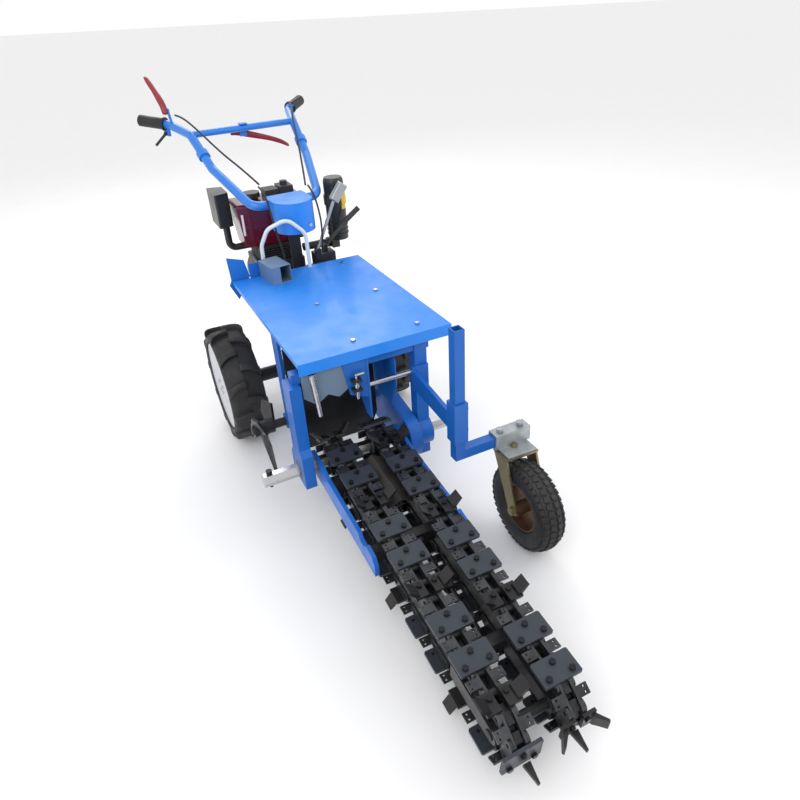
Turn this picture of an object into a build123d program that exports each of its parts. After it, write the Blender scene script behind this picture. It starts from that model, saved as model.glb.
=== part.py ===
from build123d import *
import math
import os

# Two-wheel walking trencher, in millimetres. While it is modelled, X runs across the machine, -Y towards
# the tip of the digging boom, +Y towards the handlebar, Z up, with the ground at Z = 0 and the back edge
# of the cover plate at Y = 0. The last section moves every piece so that the origin is at the middle of
# the whole object's footprint.

# --- driving dimensions --------------------------------------------------------------------------------
CLEARANCE = 0.05             # radial, in every running fit
AIR_GAP = 1.0                # between pieces that pass each other without touching

COVER_WIDTH = 475.0
COVER_LENGTH = 699.0
COVER_TOP = 591.0
SHEET = 3.0
LIP = 36.0                   # depth of the folded front lip
SIDE_FLANGE = 14.0
COVER_BOLT_PITCH_X = 205.0
COVER_BOLT_PITCH_Y = 296.0
COVER_BOLT_X = 49.0          # middle of the two rows of cover bolts
COVER_BOLT_Y = -349.0

TYRE_DIAMETER = 430.0
TYRE_WIDTH = 137.0
RIM_DIAMETER = 330.0
TRACK_OUTSIDE = 740.0        # over the outer faces of the two drive tyres
AXLE_Y = -20.0
AXLE_SHAFT = 30.0
AXLE_TUBE = 50.0

PITCH = 50.8                 # digging chain
TEETH = 6
RUN_LINKS = 18               # straight links between the two sprockets
CHAIN_X = (-154.0, -12.0)    # middle of the left and of the right chain
BOOM_SLOPE = 6.5             # degrees, nose down
SPROCKET_Y = -665.0          # drive shaft
SPROCKET_Z = 231.0
ROLLER = 20.0
PIN = 10.0
SIDEBAR_HEIGHT = 34.0
SIDEBAR_THICK = 6.0
INNER_HALF = 10.5            # half the gap between the inner side bars
PLATE_WIDTH = 96.0
PLATE_LENGTH = 60.0
PLATE_THICK = 8.0
PLATE_BOLT = 8.0

HEX = 36.0                   # drive shaft, across flats
HEX_LEFT = -385.0
HEX_RIGHT = 245.0
BEARING = 60.0
BEARING_WIDTH = 16.0
AUGER_Y = -450.0
AUGER_SHAFT = 28.0
AUGER_LEFT = -352.0
AUGER_X = -312.0             # middle of the spoil auger

POST = 40.0                  # square side post
POST_X = 137.0
POST_BOTTOM = 150.0
ARM_X = -257.0               # middle of the left side arm
ARM_THICK = 34.0
RAIL_Z = 30.0                # height of the rails under the cover

CASE_X = 89.0                # middle of the chain case
CASE_THICK = 40.0
CASE_RADIUS = 74.0
CASE_WALL = 5.0
PTO_Y = -95.0
PTO_Z = 330.0
PTO_SHAFT = 30.0
PTO_TEETH = 10
CASE_TEETH = 18
CASE_PITCH = 19.05

GAUGE_X = 108.0              # gauge arm's upright
GAUGE_Y = -950.0
GAUGE_TUBE = 30.0
GAUGE_TOP = 715.0
GAUGE_BOTTOM = 314.0
SLEEVE_WALL = 6.0
SLEEVE_TOP = 500.0
SLEEVE_HEIGHT = 125.0
CASTER_X = 280.0
CASTER_Y = -978.0
GAUGE_WHEEL = 282.0
GAUGE_WIDTH = 94.0
GAUGE_RIM = 150.0
CASTER_TRAIL = 75.0
FORK_PLATE = 6.0

GEARBOX_HALF = 95.0
GEARBOX_TOP = 500.0
ENGINE_Y = 280.0

HANDLE_TUBE = 32.0
HANDLE_WALL = 2.5
HANDLE_X = 30.0              # middle of the handlebar's hinge
HANDLE_Y = 125.0
HANDLE_Z = 797.0
HANDLE_HALF = 125.0          # half the hinge tube's length
HANDLE_YAW = 3.3             # degrees
GRIP_LENGTH = 110.0

# --- worked out from them ------------------------------------------------------------------------------
PITCH_RADIUS = PITCH / 2 / math.sin(math.pi / TEETH)
APOTHEM = PITCH_RADIUS * math.cos(math.pi / TEETH)
BOOM_LENGTH = RUN_LINKS * PITCH
WRAP_LINKS = TEETH // 2
LINKS = 2 * (RUN_LINKS + WRAP_LINKS)
OUTER_HALF = INNER_HALF + SIDEBAR_THICK + 0.5
SIDEBAR_OUT = OUTER_HALF + SIDEBAR_THICK
PLATE_Z = SIDEBAR_HEIGHT / 2          # underside of a digging plate, above the pitch line
COVER_UNDER = COVER_TOP - SHEET
WHEEL_X = (TRACK_OUTSIDE - TYRE_WIDTH) / 2
TYRE_RADIUS = TYRE_DIAMETER / 2
BEARING_BORE = BEARING / 2 + CLEARANCE
AUGER_Z = SPROCKET_Z + (PTO_Z - SPROCKET_Z) * (AUGER_Y - SPROCKET_Y) / (PTO_Y - SPROCKET_Y)
AUGER_BORE = AUGER_SHAFT / 2 + CLEARANCE


# --- helpers -------------------------------------------------------------------------------------------
def block(x0, x1, y0, y1, z0, z1):
    size = Box(x1 - x0, y1 - y0, z1 - z0)
    return Pos((x0 + x1) / 2, (y0 + y1) / 2, (z0 + z1) / 2) * size


def x_rod(x0, x1, y, z, radius):
    return Pos((x0 + x1) / 2, y, z) * Rot(0, 90, 0) * Cylinder(radius, x1 - x0)


def z_rod(x, y, z0, z1, radius):
    return Pos(x, y, (z0 + z1) / 2) * Cylinder(radius, z1 - z0)


def rod(start, end, radius):
    line = Vector(*end) - Vector(*start)
    place = Plane(origin=start, z_dir=line)
    return extrude(place * Circle(radius), line.length)


def tube(points, radii, radius, wall=0):
    path = FilletPolyline(*points, radius=radii)
    section = Circle(radius) - Circle(radius - wall) if wall else Circle(radius)
    return sweep(Plane(origin=path @ 0, z_dir=path % 0) * section, path=path)


def x_plate(outline, x0, x1):
    """A flat plate across X whose outline is given as (y, z) points."""
    place = Plane(origin=(x0, 0, 0), x_dir=(0, 1, 0), z_dir=(1, 0, 0))
    return extrude(place * make_face(Polyline(*outline, close=True)), x1 - x0)


def y_plate(outline, y0, y1):
    """A flat plate across Y whose outline is given as (x, z) points."""
    place = Plane(origin=(0, y1, 0), x_dir=(1, 0, 0), z_dir=(0, -1, 0))
    return extrude(place * make_face(Polyline(*outline, close=True)), y1 - y0)


def hex_bolt(across, head, shank, length):
    """Head on Z = 0 upwards, shank downwards."""
    top = extrude(RegularPolygon(across / 2, 6, major_radius=False), head)
    return top + Pos(0, 0, -length / 2) * Cylinder(shank / 2, length)


def hex_x(x0, x1, y, z, across):
    place = Plane(origin=(x0, y, z), x_dir=(0, 1, 0), z_dir=(1, 0, 0))
    return extrude(place * RegularPolygon(across / 2, 6, major_radius=False), x1 - x0)


def group(shapes):
    return Compound(children=[s for shape in shapes for s in shape.solids()])


def rounded_strip(run, radius):
    """A flat strip with round ends, whose end centres are `run` apart."""
    strip = Rectangle(run, 2 * radius)
    return strip + Pos(-run / 2, 0) * Circle(radius) + Pos(run / 2, 0) * Circle(radius)


def toothed_disc(teeth, outer, root, width):
    """A sprocket across X, about the origin, with round-bottomed gaps."""
    disc = Cylinder(outer, width)
    gaps = [Rot(0, 0, 360 / teeth * k) * Pos(root[0], 0, 0) * Cylinder(root[1], width + 2)
            for k in range(teeth)]
    return Rot(0, 90, 0) * (disc - gaps)


# --- cover and frame -----------------------------------------------------------------------------------
def cover_bolt_places():
    return [(COVER_BOLT_X + i * COVER_BOLT_PITCH_X / 2, COVER_BOLT_Y + j * COVER_BOLT_PITCH_Y)
            for i in (-1, 1) for j in (-1, 0, 1)]


def cover_plate():
    half = COVER_WIDTH / 2
    sheet = block(-half, half, -COVER_LENGTH, 0, COVER_UNDER, COVER_TOP)
    sheet += block(-half, half, -COVER_LENGTH, -COVER_LENGTH + SHEET, COVER_TOP - LIP, COVER_TOP)
    sheet += block(-half, half, -SHEET, 0, COVER_TOP - SIDE_FLANGE, COVER_TOP)
    for side in (-half, half - SHEET):
        sheet += block(side, side + SHEET, -COVER_LENGTH, 0, COVER_TOP - SIDE_FLANGE, COVER_TOP)
    for x, y in cover_bolt_places():
        sheet -= z_rod(x, y, COVER_UNDER - 1, COVER_TOP + 1, 4.5)
    return sheet


def cover_bolts():
    bolt = hex_bolt(13, 5.5, 8, SHEET + RAIL_Z)
    return group([Pos(x, y, COVER_TOP) * bolt for x, y in cover_bolt_places()])


def rail_xs():
    half = COVER_BOLT_PITCH_X / 2
    return COVER_BOLT_X - half, COVER_BOLT_X + half


def main_frame():
    left, right = rail_xs()
    bottom = COVER_UNDER - RAIL_Z
    front = -COVER_LENGTH + SHEET
    back = -SHEET - AIR_GAP
    frame = block(left - 15, left + 15, front, back, bottom, COVER_UNDER)
    frame += block(right - 15, right + 15, front, back, bottom, COVER_UNDER)
    frame += block(left - 15, right + 15, back - 26, back, bottom, COVER_UNDER)
    frame += block(0, 40, back - 26, back, GEARBOX_TOP, bottom)
    frame += block(ARM_X, right + 15, front + 12, front + 42, bottom - 30, bottom)
    frame += block(left - 15, right + 15, -360, -330, bottom, COVER_UNDER)
    for x, y in cover_bolt_places():
        frame -= z_rod(x, y, bottom - 31, COVER_UNDER + 1, 4.0)
    return frame


def side_post():
    front = SPROCKET_Y - POST / 2 - 3
    x0 = POST_X - POST / 2
    post = block(x0, x0 + POST, front, front + POST, POST_BOTTOM, COVER_UNDER - RAIL_Z)
    post -= block(x0 + 3, x0 + POST - 3, front + 3, front + POST - 3, POST_BOTTOM - 1, 190)
    pad = x_rod(x0 - 3, x0 + POST + 3, SPROCKET_Y, SPROCKET_Z, 50)
    return post + pad - x_rod(x0 - 5, x0 + POST + 5, SPROCKET_Y, SPROCKET_Z, BEARING_BORE)


def side_arm():
    x0 = ARM_X - ARM_THICK / 2
    x1 = ARM_X + ARM_THICK / 2
    top = COVER_UNDER - RAIL_Z - 30
    outline = [(-708, top), (-640, top), (-636, 300), (-612, 270), (-612, 190), (-718, 190),
               (-718, 300), (-704, 320)]
    arm = x_plate(outline, x0, x1)
    arm -= x_rod(x0 - 1, x1 + 1, SPROCKET_Y, SPROCKET_Z, BEARING_BORE)
    return arm


def bearing_flange(x, side):
    ring = x_rod(x, x + side * 10, SPROCKET_Y, SPROCKET_Z, 46)
    return ring - x_rod(x - 20, x + 20, SPROCKET_Y, SPROCKET_Z, BEARING / 2 - 6)


def mid_plate():
    outline = [(-COVER_LENGTH + SHEET, 558), (-560, 558), (-600, 420), (-664, 352),
               (-COVER_LENGTH + SHEET, 352)]
    plate = x_plate(outline, -40, -34)
    gusset = y_plate([(-40, 558), (-40, 425), (-96, 450), (-112, 558)], -694, -689)
    return plate + gusset


def cross_rod():
    return x_rod(-34, POST_X - POST / 2 - 13.4, -684, 461, 8)


def curtain():
    outline = [(-232, 556), (-42, 556), (-42, 470), (-70, 458), (-96, 472), (-128, 452), (-160, 470),
               (-196, 446), (-232, 478)]
    return y_plate(outline, -COVER_LENGTH + SHEET + 8, -COVER_LENGTH + SHEET + 10)


def dirt_shield():
    """The sheet behind the chains that keeps the spoil off the gearbox."""
    outline = [(-232, 558), (48, 558), (48, 250), (20, 190), (-200, 190), (-232, 240)]
    return y_plate(outline, -524, -521)


def chain_guard():
    outline = [(-650, 556), (-300, 556), (-300, 420), (-560, 345), (-640, 345), (-690, 430), (-690, 520),
               (-650, 520)]
    guard = x_plate(outline, 50, 53) - x_rod(49, 54, -684, 461, 9)
    return guard + block(50, 64, -560, -330, 553, 556)


def left_wing():
    upper = y_plate([(-244, 676), (-186, 658), (-174, 597), (-241, 594)], 4, 7)
    lower = y_plate([(-241, 594), (-174, 597), (-186, 575), (-226, 520), (-250, 576)], 4, 7)
    return upper + lower


def rear_shield():
    left, right = rail_xs()
    return y_plate([(-174, 560), (-174, 640), (-100, 640), (left - 18, 590), (left - 18, 560)], 4, 7)


def control_box():
    outer = Rot(0, 0, 9) * block(-35, 35, -54, 54, COVER_TOP, COVER_TOP + 61)
    inner = Rot(0, 0, 9) * block(-33, 33, -60, 52, COVER_TOP + 2, COVER_TOP + 59)
    blind = Rot(0, 0, 9) * block(-33, -4, -54, -52, COVER_TOP + 2, COVER_TOP + 59)
    return Pos(-98, -61, 0) * (outer - inner + blind)


# --- drive wheels --------------------------------------------------------------------------------------
def tyre(radius, width, rim_radius, lugs, lug_height):
    crown = radius - lug_height
    outline = [(rim_radius, -width * 0.36), (rim_radius + 8, -width / 2 + 2),
               (crown - 10, -width / 2 + 2), (crown - 2, -width * 0.34), (crown, 0),
               (crown - 2, width * 0.34), (crown - 10, width / 2 - 2),
               (rim_radius + 8, width / 2 - 2), (rim_radius, width * 0.36)]
    face = make_face(Plane.XZ * Polyline(*outline, close=True))
    body = revolve(face, Axis.Z)
    for k in range(lugs):
        side = 1 if k % 2 else -1
        bar = Rot(side * 26, 0, 0) * Box(2 * lug_height + 14, 27, width * 0.60)
        lug = Rot(0, 0, 360 / lugs * k) * Pos(crown - 5, 0, side * width * 0.19) * bar
        body += lug & Cylinder(radius, width - 2)
    return Rot(0, 90, 0) * body


def wheel_rim(side):
    """The dished disc with its rim, hub and axle shaft, about the wheel's middle."""
    rim_radius = RIM_DIAMETER / 2
    ring = Cylinder(rim_radius - 0.4, TYRE_WIDTH * 0.70) - Cylinder(rim_radius - 5, TYRE_WIDTH)
    disc = Pos(0, 0, TYRE_WIDTH * 0.40) * Cylinder(rim_radius - 4, 5)
    hub = Pos(0, 0, 10) * Cylinder(36, TYRE_WIDTH * 0.66)
    inside = WHEEL_X - TYRE_WIDTH * 0.25
    shaft_length = inside - GEARBOX_HALF + 60
    shaft = Pos(0, 0, -TYRE_WIDTH * 0.25 - shaft_length / 2) * Cylinder(AXLE_SHAFT / 2, shaft_length)
    shape = ring + disc + hub + shaft
    for k in range(5):
        shape += Rot(0, 0, 72 * k) * Pos(26, 0, TYRE_WIDTH * 0.40) * Cylinder(6, 14)
    return Pos(side * WHEEL_X, AXLE_Y, TYRE_RADIUS) * Rot(0, side * 90, 0) * shape


def drive_tyre(side):
    shape = tyre(TYRE_RADIUS, TYRE_WIDTH, RIM_DIAMETER / 2, 22, 17)
    return Pos(side * WHEEL_X, AXLE_Y, TYRE_RADIUS) * shape


def axle_tube(side):
    x0 = GEARBOX_HALF
    x1 = WHEEL_X - TYRE_WIDTH * 0.25 - 6
    pipe = x_rod(x0, x1, AXLE_Y, TYRE_RADIUS, AXLE_TUBE / 2)
    pipe += x_rod(x0, x0 + 14, AXLE_Y, TYRE_RADIUS, AXLE_TUBE / 2 + 14)
    pipe -= x_rod(x0 - 1, x1 + 1, AXLE_Y, TYRE_RADIUS, AXLE_SHAFT / 2 + CLEARANCE)
    return pipe if side > 0 else mirror(pipe, Plane.YZ)


def gearbox():
    half = GEARBOX_HALF
    case = block(-half, half, AXLE_Y - 70, AXLE_Y + 80, TYRE_RADIUS - 60, TYRE_RADIUS + 70)
    case += block(-60, 60, AXLE_Y - 70, AXLE_Y + 120, TYRE_RADIUS + 60, GEARBOX_TOP)
    case += block(-60, POST_X, PTO_Y - 45, AXLE_Y - 60, PTO_Z - 45, PTO_Z + 45)
    case -= block(CASE_X - CASE_THICK / 2 - 0.5, POST_X + 1, PTO_Y - 80, AXLE_Y + 1, PTO_Z - 100, PTO_Z + 100)
    case -= x_rod(-half - 1, half + 1, AXLE_Y, TYRE_RADIUS, AXLE_SHAFT / 2 + 1.5)
    case -= x_rod(0, POST_X + 1, PTO_Y, PTO_Z, PTO_SHAFT / 2 + CLEARANCE)
    return case


def gear_housing():
    case = block(60, 142, 10, 92, 470, 560) + block(84, 160, 28, 84, 560, 612)
    return case


def engine_bed():
    front = AXLE_Y + 120
    left = block(-85, -61, front, ENGINE_Y + 110, 372, 396)
    right = block(61, 85, front, ENGINE_Y + 110, 372, 396)
    cross = block(-85, 85, ENGINE_Y + 60, ENGINE_Y + 84, 372, 396)
    return left + right + cross + block(-85, 85, front, front + 12, 290, 374)


# --- chain case, drive shaft and spoil auger -----------------------------------------------------------
def case_outline(radius):
    run = math.hypot(SPROCKET_Y - PTO_Y, SPROCKET_Z - PTO_Z)
    lean = math.degrees(math.atan2(PTO_Z - SPROCKET_Z, PTO_Y - SPROCKET_Y))
    middle = ((SPROCKET_Y + PTO_Y) / 2, (SPROCKET_Z + PTO_Z) / 2)
    return Pos(*middle) * Rot(0, 0, lean) * rounded_strip(run, radius)


def case_slab(radius, x0, x1):
    place = Plane(origin=(x0, 0, 0), x_dir=(0, 1, 0), z_dir=(1, 0, 0))
    return extrude(place * case_outline(radius), x1 - x0)


def chain_case():
    x0 = CASE_X - CASE_THICK / 2
    x1 = CASE_X + CASE_THICK / 2 - CASE_WALL
    case = case_slab(CASE_RADIUS, x0, x1) - case_slab(CASE_RADIUS - CASE_WALL, x0 + CASE_WALL, x1 + 1)
    case -= x_rod(x0 - 1, x1, SPROCKET_Y, SPROCKET_Z, HEX / 2 + 6)
    case -= x_rod(x0 - 1, x1, AUGER_Y, AUGER_Z, AUGER_BORE)
    return case - x_rod(x0 - 1, x1, PTO_Y, PTO_Z, PTO_SHAFT / 2 + 1.5)


def case_cover():
    x0 = CASE_X + CASE_THICK / 2 - CASE_WALL
    cover = case_slab(CASE_RADIUS, x0, x0 + CASE_WALL)
    return cover - x_rod(x0 - 1, x0 + CASE_WALL + 1, SPROCKET_Y, SPROCKET_Z, HEX / 2 + 6)


def case_sprocket(teeth, y, z, bore):
    radius = CASE_PITCH / 2 / math.sin(math.pi / teeth)
    disc = toothed_disc(teeth, radius + 4, (radius, 6.2), 11)
    return Pos(CASE_X, y, z) * disc - x_rod(CASE_X - 9, CASE_X + 9, y, z, bore)


def hex_shaft():
    shaft = hex_x(HEX_LEFT, HEX_RIGHT, SPROCKET_Y, SPROCKET_Z, HEX)
    shaft = chamfer(shaft.faces().sort_by(Axis.X)[0].edges(), 3)
    return shaft - z_rod(HEX_LEFT + 22, SPROCKET_Y, SPROCKET_Z - 30, SPROCKET_Z + 30, 5)


def hex_pin():
    x = HEX_LEFT + 22
    pin = z_rod(x, SPROCKET_Y, SPROCKET_Z - 28, SPROCKET_Z + 22, 4.8)
    head = z_rod(x, SPROCKET_Y, SPROCKET_Z + HEX / 2 + 3, SPROCKET_Z + HEX / 2 + 13, 9)
    return pin + head


def yoke_xs():
    left = CHAIN_X[0] - PLATE_WIDTH / 2 - 24
    right = CHAIN_X[1] + PLATE_WIDTH / 2 + 10
    return (left, left + 12), (right, right + 12)


def shaft_bearings():
    arm = (ARM_X - ARM_THICK / 2, ARM_X + ARM_THICK / 2)
    post = (POST_X - POST / 2 - 3, POST_X + POST / 2 + 3)
    rings = []
    for x0, x1 in (arm, post) + yoke_xs():
        ring = x_rod(x0, x1, SPROCKET_Y, SPROCKET_Z, BEARING / 2)
        rings.append(ring - hex_x(x0 - 1, x1 + 1, SPROCKET_Y, SPROCKET_Z, HEX))
    return group(rings)


def chain_sprocket(bore):
    """Digging chain sprocket across X, about the origin, with one tooth gap straight up."""
    disc = toothed_disc(TEETH, PITCH_RADIUS + 8, (PITCH_RADIUS, ROLLER / 2 + 0.2), 16)
    disc = Rot(90, 0, 0) * disc
    hub = x_rod(-SIDEBAR_OUT - 3, SIDEBAR_OUT + 3, 0, 0, 25)
    return disc + hub - bore


def drive_sprockets():
    bore = Rot(-BOOM_SLOPE, 0, 0) * hex_x(-60, 60, 0, 0, HEX)
    disc = chain_sprocket(bore)
    return group([Pos(x, SPROCKET_Y, SPROCKET_Z) * Rot(BOOM_SLOPE, 0, 0) * disc for x in CHAIN_X])


def seated_rollers():
    """The rollers that lie in the tooth gaps of a sprocket at the end of the boom, about its axis."""
    gap = 360 / TEETH
    roller = Pos(0, 0, PITCH_RADIUS) * Rot(0, 90, 0) * Cylinder(ROLLER / 2, 2 * INNER_HALF - 1)
    return [Rot(gap * k, 0, 0) * roller for k in range(WRAP_LINKS + 1)]


def auger_shaft():
    return x_rod(AUGER_LEFT, CASE_X + CASE_THICK / 2 - CASE_WALL - 1, AUGER_Y, AUGER_Z, AUGER_SHAFT / 2)


def auger_blade(tip, root, width, x0):
    """A curved, pointed blade that stands on the hub, about the origin and across X."""
    place = Plane(origin=(x0, 0, 0), x_dir=(0, 1, 0), z_dir=(1, 0, 0))
    outline = Polyline((-root, 10), (-width, 60), (4, tip), (width * 0.7, 60), (root, 10), close=True)
    return extrude(place * make_face(outline), 8)


def spoil_auger():
    hub = x_rod(AUGER_X - 36, AUGER_X + 30, 0, 0, 24)
    auger = hub
    for k, (tip, width) in enumerate([(84, 42), (165, 30), (118, 28), (90, 38)]):
        blade = auger_blade(tip, 22, width, -4)
        twist = Rot(45 + 90 * k, 0, 0) * Pos(AUGER_X - 24 + 16 * k, 0, 0) * Rot(0, 0, 24)
        auger += twist * blade
    auger -= x_rod(AUGER_X - 40, AUGER_X + 40, 0, 0, AUGER_SHAFT / 2)
    return Pos(0, AUGER_Y, AUGER_Z) * auger


def auger_hanger():
    x0 = ARM_X + ARM_THICK / 2 + 7
    outline = [(AUGER_Y - 30, COVER_UNDER), (AUGER_Y + 30, COVER_UNDER), (AUGER_Y + 26, AUGER_Z - 20),
               (AUGER_Y + 12, AUGER_Z - 34), (AUGER_Y - 12, AUGER_Z - 34), (AUGER_Y - 26, AUGER_Z - 20)]
    plate = x_plate(outline, x0, x0 + 10)
    plate += block(x0, rail_xs()[0] - 15, AUGER_Y - 30, AUGER_Y + 30, COVER_UNDER - 8, COVER_UNDER)
    boss = x_rod(x0 - 8, x0 + 18, AUGER_Y, AUGER_Z, 26)
    return plate + boss - x_rod(x0 - 20, x0 + 30, AUGER_Y, AUGER_Z, AUGER_BORE)


def pto_shaft():
    return x_rod(2, CASE_X + CASE_THICK / 2 - CASE_WALL - 1, PTO_Y, PTO_Z, PTO_SHAFT / 2)


# --- boom: everything here is made level, with the drive shaft at the origin -----------------------------
def on_boom(shape):
    return Pos(0, SPROCKET_Y, SPROCKET_Z) * Rot(BOOM_SLOPE, 0, 0) * shape


def link_place(k):
    """The middle of link k on its pitch line, with +Z outwards from the loop."""
    if k < RUN_LINKS:
        return Pos(0, -(k + 0.5) * PITCH, PITCH_RADIUS)
    k -= RUN_LINKS
    step = 360 / TEETH
    if k < WRAP_LINKS:
        return Pos(0, -BOOM_LENGTH, 0) * Rot(step * (k + 0.5), 0, 0) * Pos(0, 0, APOTHEM)
    k -= WRAP_LINKS
    if k < RUN_LINKS:
        return Pos(0, -BOOM_LENGTH + (k + 0.5) * PITCH, 0) * Rot(180, 0, 0) * Pos(0, 0, PITCH_RADIUS)
    k -= RUN_LINKS
    return Rot(180 + step * (k + 0.5), 0, 0) * Pos(0, 0, APOTHEM)


def is_cutter_row(side, row):
    """Every third row of each chain carries two small cutters instead of one wide plate."""
    return (row - side) % 3 == 2


def outer_links():
    return [(row, 2 * row + 1) for row in range(LINKS // 2)]


def side_bar(x0, tab):
    """One side bar, level, with a pierced tab that turns outwards at the top if it has one."""
    place = Plane(origin=(x0, 0, 0), x_dir=(0, 1, 0), z_dir=(1, 0, 0))
    outline = rounded_strip(PITCH - 1.2, SIDEBAR_HEIGHT / 2)
    outline -= [Pos(end * PITCH / 2, 0) * Circle(PIN / 2) for end in (-1, 1)]
    bar = extrude(place * outline, SIDEBAR_THICK)
    if tab:
        side = 1 if x0 > 0 else -1
        reach = x0 + SIDEBAR_THICK / 2 + side * 16
        wing = Pos(reach, 0, PLATE_Z - 2.5) * Box(30, 24, 5)
        wing -= [Pos(reach + side * 6, y, PLATE_Z - 2.5) * Cylinder(2.6, 8) for y in (-6, 6)]
        bar += wing
    return bar


def chain_side_bars(side):
    pairs = []
    for half, tab in ((OUTER_HALF, False), (INNER_HALF, True)):
        pairs.append([side_bar(half, tab), side_bar(-half - SIDEBAR_THICK, tab)])
    place = Pos(CHAIN_X[side], 0, 0)
    bars = [place * link_place(k) * bar for k in range(LINKS) for bar in pairs[(k + 1) % 2]]
    return on_boom(group(bars))


def run_pins():
    """Pin places on the two straight runs, clear of both sprockets."""
    return [(-k * PITCH, side * PITCH_RADIUS) for k in range(1, RUN_LINKS) for side in (1, -1)]


def chain_rollers():
    roller = Rot(0, 90, 0) * (Cylinder(ROLLER / 2, 2 * INNER_HALF - 1) - Cylinder(PIN / 2, 40))
    return on_boom(group([Pos(x, y, z) * roller for x in CHAIN_X for y, z in run_pins()]))


def chain_pins():
    pin = Rot(0, 90, 0) * Cylinder(PIN / 2, 2 * SIDEBAR_OUT + 6)
    return on_boom(group([Pos(x, y, z) * pin for x in CHAIN_X for y, z in run_pins()]))


def plate_bolt_places():
    return [(-30, -16), (30, -16), (0, 14)]


def flight_plate():
    plate = Pos(0, 0, PLATE_Z + PLATE_THICK / 2) * Box(PLATE_WIDTH, PLATE_LENGTH, PLATE_THICK)
    plate = chamfer(plate.edges().filter_by(Axis.Z), 3)
    for x, y in plate_bolt_places():
        plate -= Pos(x, y, PLATE_Z + 4) * Cylinder(PLATE_BOLT / 2, PLATE_THICK + 2)
    return plate


def flight_plates(side):
    plate = Pos(CHAIN_X[side], 0, 0)
    shape = flight_plate()
    rows = [k for row, k in outer_links() if not is_cutter_row(side, row)]
    return on_boom(group([plate * link_place(k) * shape for k in rows]))


def cutter_pair():
    """Two small plates, each with a tooth that curls up and outwards."""
    pair = []
    for hand in (-1, 1):
        top = PLATE_Z + PLATE_THICK
        pad = Pos(hand * 26, 0, PLATE_Z + PLATE_THICK / 2) * Box(34, 46, PLATE_THICK)
        outline = [(hand * 30, top), (hand * 43, top), (hand * 60, top + 24), (hand * 57, top + 29),
                   (hand * 44, top + 16), (hand * 33, top + 6)]
        pair.append(pad + y_plate(outline, -19, 13))
        pair[-1] -= Pos(hand * 20, 8, PLATE_Z + 4) * Cylinder(PLATE_BOLT / 2, PLATE_THICK + 2)
    return pair


def cutters(side):
    place = Pos(CHAIN_X[side], 0, 0)
    rows = [k for row, k in outer_links() if is_cutter_row(side, row)]
    pair = cutter_pair()
    return on_boom(group([place * link_place(k) * tooth for k in rows for tooth in pair]))


def plate_bolts():
    bolt = hex_bolt(13, 6, PLATE_BOLT, PLATE_THICK)
    bolts = []
    for side, x in enumerate(CHAIN_X):
        for row, k in outer_links():
            narrow = is_cutter_row(side, row)
            for px, py in ([(-20, 8), (20, 8)] if narrow else plate_bolt_places()):
                bolts.append(Pos(x, 0, 0) * link_place(k) * Pos(px, py, PLATE_Z + PLATE_THICK) * bolt)
    return on_boom(group(bolts))


def nose_spikes():
    """Pointed teeth bolted across the link at the very front of each chain."""
    spikes = []
    for x, hand in zip(CHAIN_X, (1, -1)):
        z0 = PLATE_Z + PLATE_THICK + 6
        if is_cutter_row(CHAIN_X.index(x), RUN_LINKS // 2):
            z0 = PLATE_Z + PLATE_THICK
        spike = y_plate([(-9, z0), (9, z0), (2, z0 + 44), (-2, z0 + 44)], -27, -17)
        spikes.append(Pos(x, 0, 0) * link_place(RUN_LINKS + 1) * Pos(hand * 8, 0, 0) * spike)
    return on_boom(group(spikes))


def boom_rail(side):
    x = CHAIN_X[side]
    rail = block(x - 20, x + 20, -BOOM_LENGTH + 90, -86, -28, 28)
    strip = PITCH_RADIUS - ROLLER / 2 - 0.4
    return on_boom(rail + block(x - 9, x + 9, -BOOM_LENGTH + 90, -86, -strip, strip))


def boom_cross_bars():
    bars = block(yoke_xs()[0][1], CHAIN_X[0] - 20, -132, -100, -20, 20)
    bars += block(CHAIN_X[1] + 20, yoke_xs()[1][0], -132, -100, -20, 20)
    bars += block(yoke_xs()[0][1], CHAIN_X[0] - 20, -400, -372, -20, 20)
    bars += block(CHAIN_X[1] + 20, yoke_xs()[1][0], -400, -372, -20, 20)
    for y in (-132, -400, -760):
        bars += block(CHAIN_X[0] + 20, CHAIN_X[1] - 20, y, y + 30, -20, 20)
    return on_boom(group([bars]))


def yoke_plate(side):
    x0, x1 = yoke_xs()[side]
    outline = [(38, -10), (38, 14), (18, 40), (-60, 40), (-110, 30), (-330, 34), (-344, 18), (-366, 18),
               (-380, 34), (-420, 30), (-436, 10), (-436, -26), (-70, -34), (20, -40)]
    plate = x_plate(outline, x0, x1)
    return on_boom(plate - x_rod(x0 - 1, x1 + 1, 0, 0, BEARING_BORE))


def boom_cover():
    x = (CHAIN_X[0] + CHAIN_X[1]) / 2
    outline = [(x - 42, 38), (x, 64), (x + 42, 38), (x + 42, 34), (x + 2, 58.7), (x + 2, 20), (x - 2, 20),
               (x - 2, 58.7), (x - 42, 34)]
    return on_boom(y_plate(outline, -300, -104))


def tension_screw():
    x = (CHAIN_X[0] + CHAIN_X[1]) / 2
    screw = rod((x, -401, 0), (x, -700, 0), 9)
    nuts = [Pos(x, y, 0) * Rot(90, 0, 0) * extrude(RegularPolygon(15, 6, major_radius=False), 14)
            for y in (-402, -560, -660)]
    return on_boom(screw + nuts)


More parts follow.
